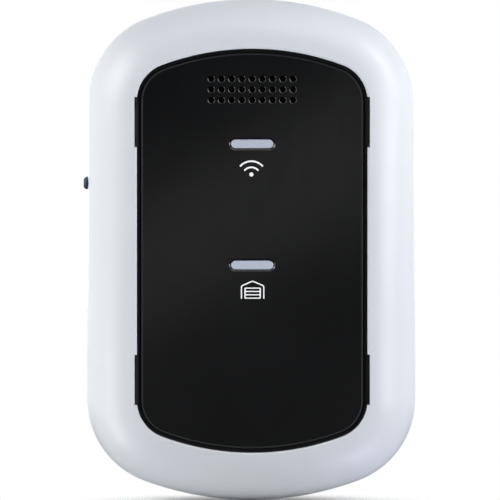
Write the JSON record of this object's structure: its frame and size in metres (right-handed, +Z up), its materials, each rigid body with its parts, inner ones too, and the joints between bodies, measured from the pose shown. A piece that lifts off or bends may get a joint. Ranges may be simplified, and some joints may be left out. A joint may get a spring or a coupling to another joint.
{
  "type": "garage door controller",
  "caption": "Wall-mounted garage door controller: white rounded ring around a gloss black face with sound holes and status lights, a side button, and a wiring bay in its back.",
  "frame": {"origin": "centre of the back face, which lies on the wall", "axes": "+Z up, +Y into the wall, so the face looks along -Y; +X to the right when looking at the face"},
  "size_m": [0.104, 0.036, 0.157],
  "materials": {
    "white_plastic": "satin bluish white moulding",
    "black_plastic": "satin black moulding",
    "gloss_black": "gloss black",
    "black_cloth": "fine woven dust cloth",
    "light_guide": "milky translucent",
    "navy_plastic": "satin dark blue",
    "grey_plastic": "satin grey",
    "orange_plastic": "satin orange",
    "black_part": "moulded black",
    "foam": "soft foam",
    "circuit_board": "green solder resist",
    "led_white": "white lamp body",
    "steel": "zinc plated",
    "brass": "plated"
  },
  "bodies": {
    "housing": {"front_bezel": "white_plastic", "rear_cover": "white_plastic", "face_frame": "black_plastic", "face_plate": "gloss_black", "grille_cloth": "black_cloth", "network_light_guide": "light_guide", "door_light_guide": "light_guide", "tact_switch": "grey_plastic", "main_board": "circuit_board", "control_chip": "black_part", "wireless_module": "circuit_board", "wireless_shield": "steel", "door_relays": "navy_plastic", "sounder": "black_part", "sounder_diaphragm": "grey_plastic", "sounder_gasket": "foam", "status_leds": "led_white", "alert_leds": "led_white", "capacitors": "navy_plastic", "power_inductor": "black_part", "terminal_block": "grey_plastic", "terminal_contacts": "steel", "dc_jack": "black_part", "jack_pin": "brass", "case_screws": "steel", "board_screws": "steel"},
    "side_button": {"program_button": "navy_plastic", "switch_plunger": "black_part"},
    "release_1": {"release_button_1": "orange_plastic"},
    "release_2": {"release_button_2": "orange_plastic"},
    "release_3": {"release_button_3": "orange_plastic"},
    "release_4": {"release_button_4": "orange_plastic"},
    "release_5": {"release_button_5": "orange_plastic"},
    "release_6": {"release_button_6": "orange_plastic"}
  },
  "joints": [
    {"name": "program_press", "type": "slide", "parent": "housing", "child": "side_button", "axis": [1, 0, 0], "range_m": [0, 0.0005], "stiffness_N_per_m": 3200},
    {"name": "release_press_1", "type": "slide", "parent": "housing", "child": "release_1", "axis": [0, 0, 1], "range_m": [0, 0.001], "stiffness_N_per_m": 5000},
    {"name": "release_press_2", "type": "slide", "parent": "housing", "child": "release_2", "axis": [0, 0, 1], "range_m": [0, 0.001], "stiffness_N_per_m": 5000},
    {"name": "release_press_3", "type": "slide", "parent": "housing", "child": "release_3", "axis": [0, 0, 1], "range_m": [0, 0.001], "stiffness_N_per_m": 5000},
    {"name": "release_press_4", "type": "slide", "parent": "housing", "child": "release_4", "axis": [0, 0, 1], "range_m": [0, 0.001], "stiffness_N_per_m": 5000},
    {"name": "release_press_5", "type": "slide", "parent": "housing", "child": "release_5", "axis": [0, 0, 1], "range_m": [0, 0.001], "stiffness_N_per_m": 5000},
    {"name": "release_press_6", "type": "slide", "parent": "housing", "child": "release_6", "axis": [0, 0, 1], "range_m": [0, 0.001], "stiffness_N_per_m": 5000}
  ]
}
